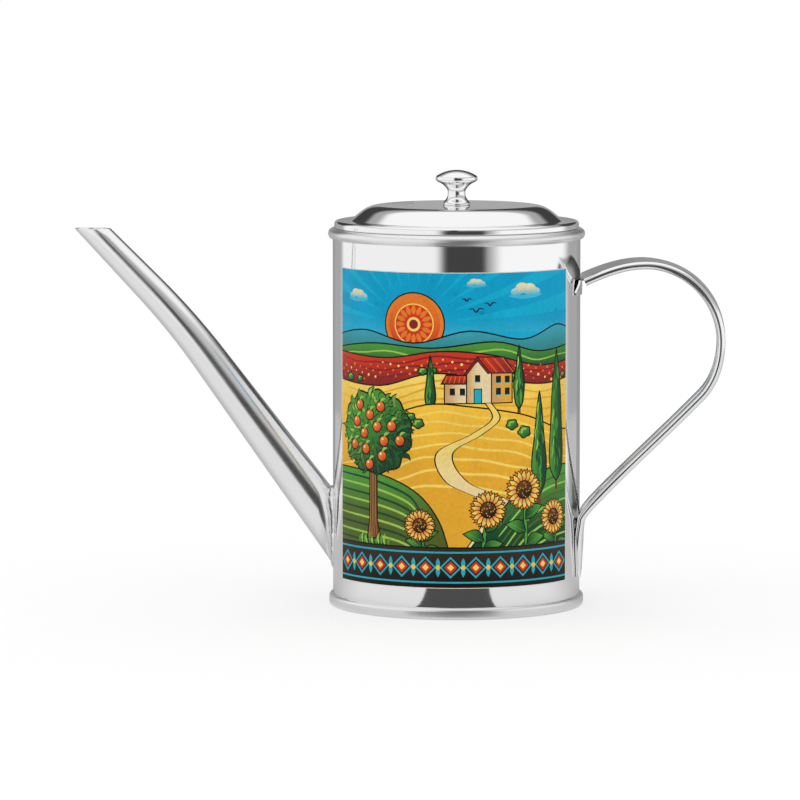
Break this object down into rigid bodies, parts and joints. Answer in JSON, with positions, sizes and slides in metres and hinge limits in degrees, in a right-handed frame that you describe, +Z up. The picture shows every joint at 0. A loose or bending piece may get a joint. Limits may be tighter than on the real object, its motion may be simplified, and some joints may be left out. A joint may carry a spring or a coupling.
{
  "type": "olive oil tin with spout",
  "caption": "Cylindrical metal oil tin with a slender side spout, a strap handle with rolled edges, a lift-off lid with a turned knob and a printed label.",
  "frame": {"origin": "centre of the tin's foot, on the axis of the round body at the height of the table", "axes": "+Z up along the body's axis, +X towards the handle, -X towards the spout, -Y towards the middle of the label"},
  "size_m": [0.2108, 0.083, 0.1408],
  "materials": {
    "body_steel": "polished stainless sheet with a soft satin grain",
    "base_steel": "polished stainless sheet",
    "bead_steel": "polished rolled bead",
    "spout_steel": "polished rolled tube",
    "solder": "dull tin solder, slightly lumpy",
    "handle_steel": "polished strap with rolled edges",
    "label_print": "satin colour print on film",
    "lid_steel": "mirror-polished pressed lid",
    "skirt_steel": "plain stainless sheet",
    "knob_chrome": "mirror-polished turned knob",
    "screw_steel": "plain steel"
  },
  "bodies": {
    "tin": {"body_shell": "body_steel", "base_pan": "base_steel", "mouth_ring": "bead_steel", "spout_tube": "spout_steel", "spout_solder": "solder", "handle_strap": "handle_steel", "label": "label_print"},
    "lid": {"lid_shell": "lid_steel", "lid_skirt": "skirt_steel", "lid_knob": "knob_chrome", "knob_screw": "screw_steel", "knob_washer": "screw_steel"}
  },
  "joints": [
    {"name": "lid_lift", "type": "slide", "parent": "tin", "child": "lid", "axis": [0, 0, 1], "range_m": [0, 0.06]}
  ]
}
